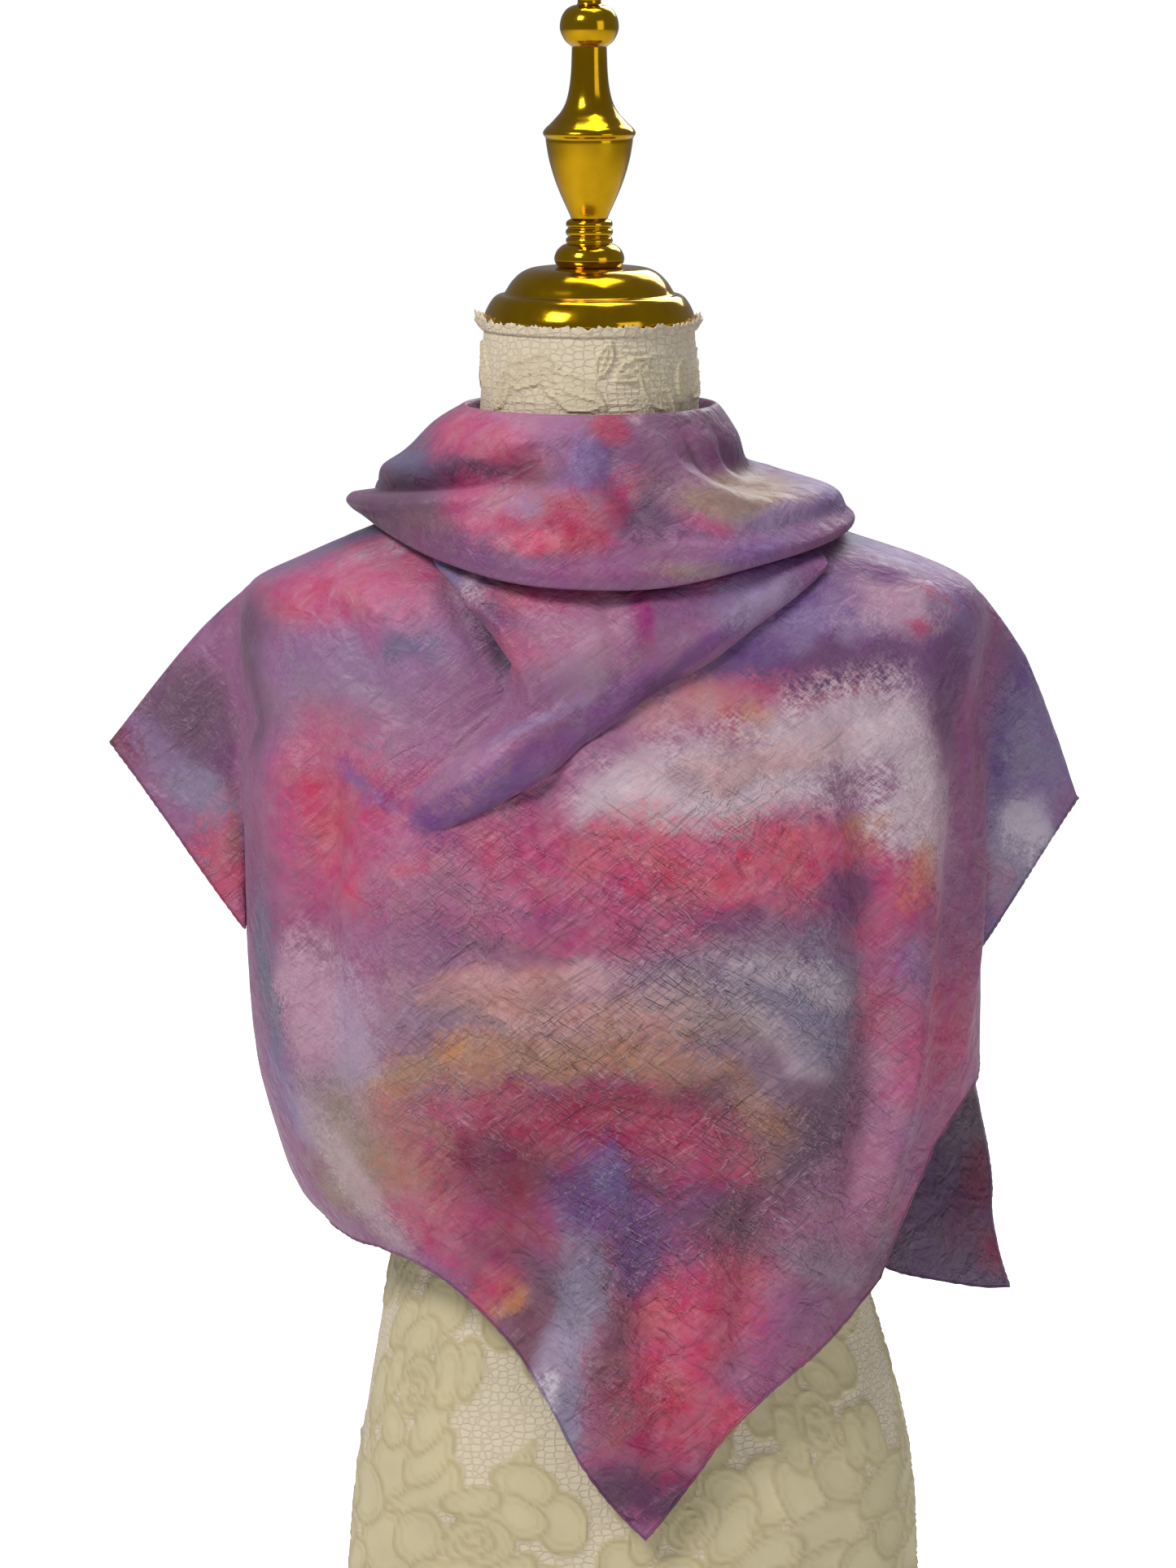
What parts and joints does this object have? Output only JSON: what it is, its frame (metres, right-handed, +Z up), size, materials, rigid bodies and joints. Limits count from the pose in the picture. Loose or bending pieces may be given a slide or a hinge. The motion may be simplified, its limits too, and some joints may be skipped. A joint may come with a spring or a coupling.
{
  "type": "silk scarf on a limbless dress form",
  "caption": "Square dyed silk scarf wound round the neck of a limbless dress form: cowl, swag, pointed front, shoulder corners and a hanging tail, under a turned finial.",
  "frame": {"origin": "middle of the dress form's flat base, on the surface that it stands on", "axes": "+Z up along the form; -Y towards the wearer's front, where the scarf's point hangs; +X to the right of someone who faces that front"},
  "size_m": [0.5303, 0.2463, 0.9636],
  "materials": {
    "silk": "crepe silk, soft sheen, mottled rose, violet, grey and gold dye",
    "form_cloth": "cream cloth cover with raised pale flowers, matt",
    "finial_brass": "polished"
  },
  "bodies": {
    "root": {"form_torso": "form_cloth", "finial_flange": "finial_brass", "finial_bead": "finial_brass", "finial_vase": "finial_brass", "finial_ball": "finial_brass", "scarf_front": "silk", "scarf_back": "silk", "scarf_tail": "silk", "scarf_wing_left": "silk", "scarf_wing_right": "silk", "scarf_cowl": "silk", "scarf_swag": "silk"}
  },
  "joints": []
}
